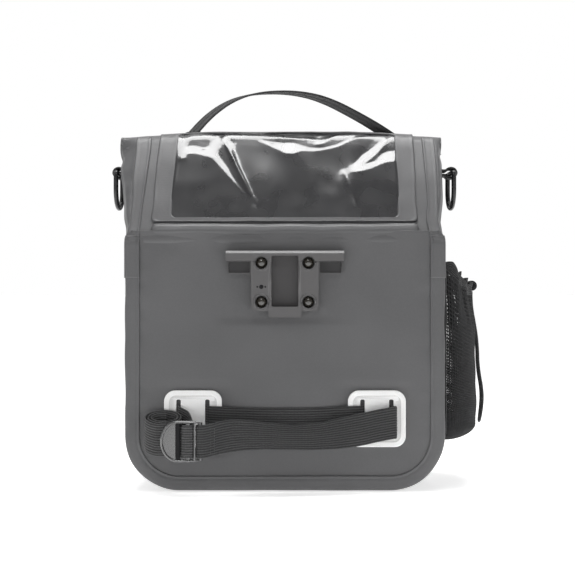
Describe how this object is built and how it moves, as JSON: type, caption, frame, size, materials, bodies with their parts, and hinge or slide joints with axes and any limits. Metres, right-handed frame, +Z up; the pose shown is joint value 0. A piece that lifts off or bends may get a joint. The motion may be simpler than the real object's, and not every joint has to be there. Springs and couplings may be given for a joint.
{
  "type": "bicycle quick-release bag",
  "caption": "Welded waterproof bag with a quick-release adapter plate, map window, lower strap, carrying handle, side mesh pocket and front flap.",
  "frame": {"origin": "centre of the flat base, on the surface the bag stands on", "axes": "+X to the mesh pocket side, +Y to the closure flap side, +Z up; the adapter plate faces -Y"},
  "size_m": [0.3034, 0.1652, 0.3215],
  "materials": {
    "coated_fabric": "satin mid-grey coated woven fabric",
    "weld_tape": "pressed satin weld seam in the same coated fabric",
    "clear_film": "glossy clear flexible film",
    "board": "black polyethylene board",
    "moulded_plastic": "fine-grained dark moulded nylon",
    "white_plastic": "slightly translucent white moulded plastic",
    "dark_steel": "dark oxide steel",
    "ring_metal": "gloss black coated wire",
    "webbing": "ribbed dark charcoal webbing",
    "pocket_mesh": "black knitted mesh",
    "pocket_binding": "black gathered binding tape",
    "cord": "black braided elastic cord",
    "fastener_tape": "black hook and loop tape"
  },
  "bodies": {
    "root": {"back_panel": "coated_fabric", "front_panel": "coated_fabric", "gusset": "coated_fabric", "upper_back_panel": "coated_fabric", "left_sleeve_gusset": "coated_fabric", "right_sleeve_gusset": "coated_fabric", "top_roll": "coated_fabric", "map_pocket_frame": "coated_fabric", "window_hem_band": "coated_fabric", "back_weld_band": "weld_tape", "front_weld_band": "weld_tape", "map_window": "clear_film", "roll_stiffener": "board", "base_board": "board", "back_board": "board", "mount_backing_plate": "board", "mount_plate": "moulded_plastic", "mount_screw_1": "dark_steel", "mount_screw_2": "dark_steel", "mount_screw_3": "dark_steel", "mount_screw_4": "dark_steel", "mount_nut_1": "dark_steel", "mount_nut_2": "dark_steel", "mount_nut_3": "dark_steel", "mount_nut_4": "dark_steel", "left_strap_plate": "white_plastic", "right_strap_plate": "white_plastic", "lower_strap": "webbing", "left_handle_foot": "webbing", "right_handle_foot": "webbing", "left_ring_tab": "webbing", "right_ring_tab": "webbing", "mesh_pocket": "pocket_mesh", "pocket_hem": "pocket_binding", "drawcord": "cord", "cord_lock_body": "moulded_plastic", "loop_tape": "fastener_tape"},
    "flap": {"closure_flap": "coated_fabric", "hook_tape": "fastener_tape"},
    "handle": {"handle_strap": "webbing"},
    "left_ring": {"left_d_ring": "ring_metal"},
    "right_ring": {"right_d_ring": "ring_metal"},
    "buckle": {"strap_buckle": "moulded_plastic", "strap_tail": "webbing"},
    "lock_button": {"cord_lock_button": "moulded_plastic"}
  },
  "joints": [
    {"name": "flap_hinge", "type": "hinge", "parent": "root", "child": "flap", "pos_m": [0, 0.0165, 0.2805], "axis": [1, 0, 0], "range_deg": [0, 110]},
    {"name": "handle_tilt", "type": "hinge", "parent": "root", "child": "handle", "pos_m": [0, 0, 0.288], "axis": [1, 0, 0], "range_deg": [-20, 20]},
    {"name": "left_ring_hinge", "type": "hinge", "parent": "root", "child": "left_ring", "pos_m": [-0.1365, 0, 0.2525], "axis": [0, 1, 0], "range_deg": [0, 120]},
    {"name": "right_ring_hinge", "type": "hinge", "parent": "root", "child": "right_ring", "pos_m": [0.1365, 0, 0.2525], "axis": [0, -1, 0], "range_deg": [0, 120]},
    {"name": "buckle_tilt", "type": "hinge", "parent": "root", "child": "buckle", "pos_m": [-0.0646, -0.0905, 0.0412], "axis": [0, 0, 1], "range_deg": [0, 20]},
    {"name": "lock_press", "type": "slide", "parent": "root", "child": "lock_button", "axis": [0, 1, 0], "range_m": [0, 0.0025], "stiffness_N_per_m": 250, "springref_m": -0.002}
  ]
}
